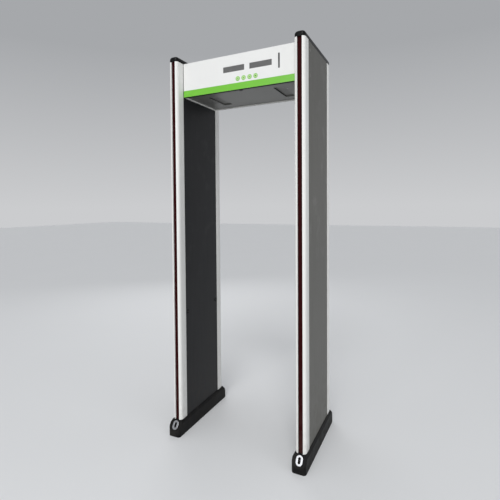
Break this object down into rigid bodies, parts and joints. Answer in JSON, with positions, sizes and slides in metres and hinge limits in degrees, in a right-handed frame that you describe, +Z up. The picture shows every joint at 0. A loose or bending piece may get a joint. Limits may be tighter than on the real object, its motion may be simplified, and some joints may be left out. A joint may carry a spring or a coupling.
{
  "type": "walk-through security gate",
  "caption": "Walk-through security gate: two slab columns on black feet carry a control header with a hinged fascia, displays and buttons.",
  "frame": {"origin": "on the floor, midway between the two columns and midway along their depth", "axes": "+Z up; +X from the left column to the right one as the operator sees them; -Y towards the operator's side, where the displays and buttons are"},
  "size_m": [0.835, 0.578, 2.22],
  "materials": {
    "white_profile": "white powder coat, satin",
    "grey_board": "fine-grained grey laminate",
    "red_strip": "dark red translucent strip",
    "circuit_board": "green solder mask",
    "former_ply": "plain plywood",
    "coil_winding": "enamelled copper wire",
    "black_plastic": "moulded black",
    "black_cap": "black moulding, soft gloss",
    "black_foot": "black moulding, fine grain",
    "bright_ring": "bright plated",
    "zinc_steel": "zinc plated",
    "plug_plastic": "moulded light grey",
    "header_sheet": "white powder coat, satin",
    "underside_sheet": "light grey powder coat",
    "hatch_plastic": "grey, fine grain",
    "lock_metal": "nickel plated",
    "supply_case": "bare folded sheet",
    "white_fascia": "white powder coat, satin",
    "green_trim": "lime green film",
    "smoked_window": "grey smoked acrylic",
    "button_plastic": "green ring with a pale face"
  },
  "bodies": {
    "root": {"left_front_profile": "white_profile", "left_rear_profile": "white_profile", "left_outer_board": "grey_board", "left_inner_board": "grey_board", "left_front_light": "red_strip", "left_rear_light": "red_strip", "left_led_boards": "circuit_board", "left_coil_former": "former_ply", "left_coils": "coil_winding", "left_beam_sensors": "black_plastic", "left_top_cap": "black_cap", "left_foot": "black_foot", "left_anchor_rings": "bright_ring", "left_header_bolts": "zinc_steel", "left_bolt_plugs": "plug_plastic", "left_connector": "black_plastic", "left_end_plate": "header_sheet", "left_hatch": "hatch_plastic", "right_front_profile": "white_profile", "right_rear_profile": "white_profile", "right_outer_board": "grey_board", "right_inner_board": "grey_board", "right_front_light": "red_strip", "right_rear_light": "red_strip", "right_led_boards": "circuit_board", "right_coil_former": "former_ply", "right_coils": "coil_winding", "right_beam_sensors": "black_plastic", "right_top_cap": "black_cap", "right_foot": "black_foot", "right_anchor_rings": "bright_ring", "right_header_bolts": "zinc_steel", "right_bolt_plugs": "plug_plastic", "right_connector": "black_plastic", "right_end_plate": "header_sheet", "right_hatch": "hatch_plastic", "top_cover": "header_sheet", "rear_cover": "header_sheet", "underside_plate": "underside_sheet", "hatch_screws": "zinc_steel", "hinge_pins": "zinc_steel", "lock_housing": "black_plastic", "main_board": "circuit_board", "power_supply": "supply_case", "sounder": "black_plastic", "mains_inlet": "black_plastic", "wiring_loom": "black_plastic"},
    "fascia": {"fascia_door": "white_fascia", "green_trim": "green_trim", "display_windows": "smoked_window", "display_modules": "black_plastic", "signal_lens": "smoked_window", "control_board": "circuit_board", "lock_keeper": "zinc_steel"},
    "lock": {"lock_barrel": "lock_metal"},
    "button_1": {"button_1": "button_plastic"},
    "button_2": {"button_2": "button_plastic"},
    "button_3": {"button_3": "button_plastic"},
    "button_4": {"button_4": "button_plastic"}
  },
  "joints": [
    {"name": "fascia_hinge", "type": "hinge", "parent": "root", "child": "fascia", "pos_m": [0, -0.176, 2.18], "axis": [-1, 0, 0], "range_deg": [0, 80]},
    {"name": "lock_turn", "type": "hinge", "parent": "root", "child": "lock", "pos_m": [0.0075, -0.15, 2], "axis": [0, 0, -1], "range_deg": [0, 90]},
    {"name": "button_1_press", "type": "slide", "parent": "fascia", "child": "button_1", "axis": [0, 1, 0], "range_m": [0, 0.0015], "stiffness_N_per_m": 800},
    {"name": "button_2_press", "type": "slide", "parent": "fascia", "child": "button_2", "axis": [0, 1, 0], "range_m": [0, 0.0015], "stiffness_N_per_m": 800},
    {"name": "button_3_press", "type": "slide", "parent": "fascia", "child": "button_3", "axis": [0, 1, 0], "range_m": [0, 0.0015], "stiffness_N_per_m": 800},
    {"name": "button_4_press", "type": "slide", "parent": "fascia", "child": "button_4", "axis": [0, 1, 0], "range_m": [0, 0.0015], "stiffness_N_per_m": 800}
  ]
}
